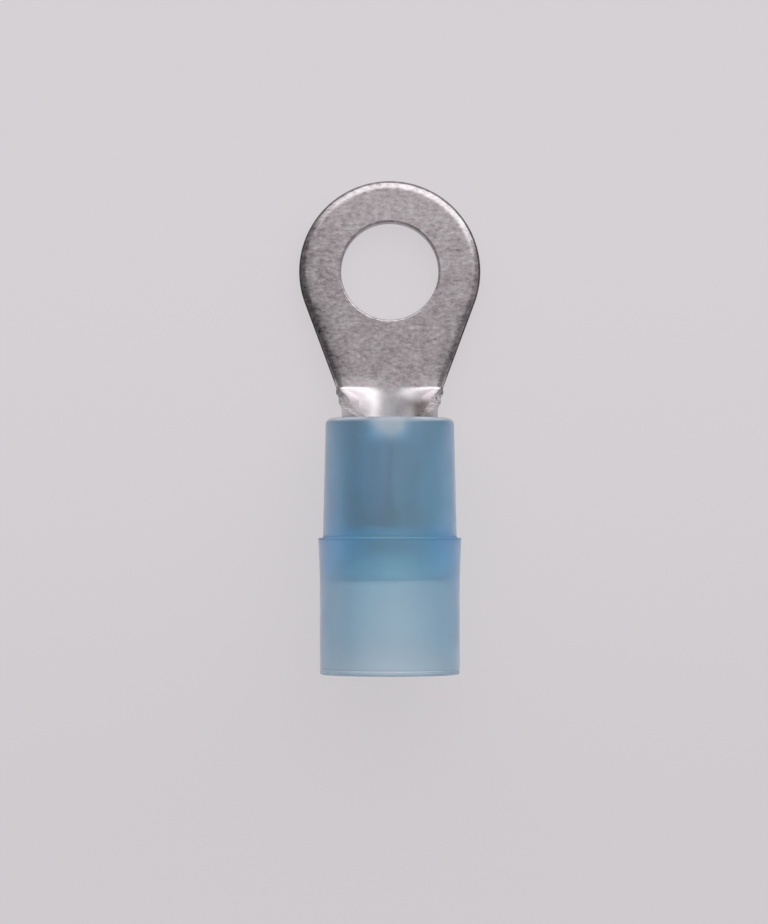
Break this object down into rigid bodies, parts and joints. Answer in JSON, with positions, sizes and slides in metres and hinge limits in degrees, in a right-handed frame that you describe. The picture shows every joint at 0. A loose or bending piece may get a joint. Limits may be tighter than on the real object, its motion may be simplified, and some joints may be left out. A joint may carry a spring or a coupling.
{
  "type": "ring terminal",
  "caption": "Insulated crimp ring terminal: flat ring tongue with a stud hole, rolled barrel with a butt seam, and a stepped translucent sleeve with a funnel entry for the wire.",
  "frame": {"origin": "centre of the stud hole on the tongue's underside", "axes": "+Z along the stud hole, out of the face that the barrel's seam is on; -Y out of the wire entry, along the barrel"},
  "size_m": [0.008, 0.0217, 0.0062],
  "materials": {
    "tinned_copper": "tin-plated copper, dull silver",
    "blue_nylon": "translucent blue moulded nylon"
  },
  "bodies": {
    "root": {"terminal_body": "tinned_copper", "insulator_sleeve": "blue_nylon"}
  },
  "joints": []
}
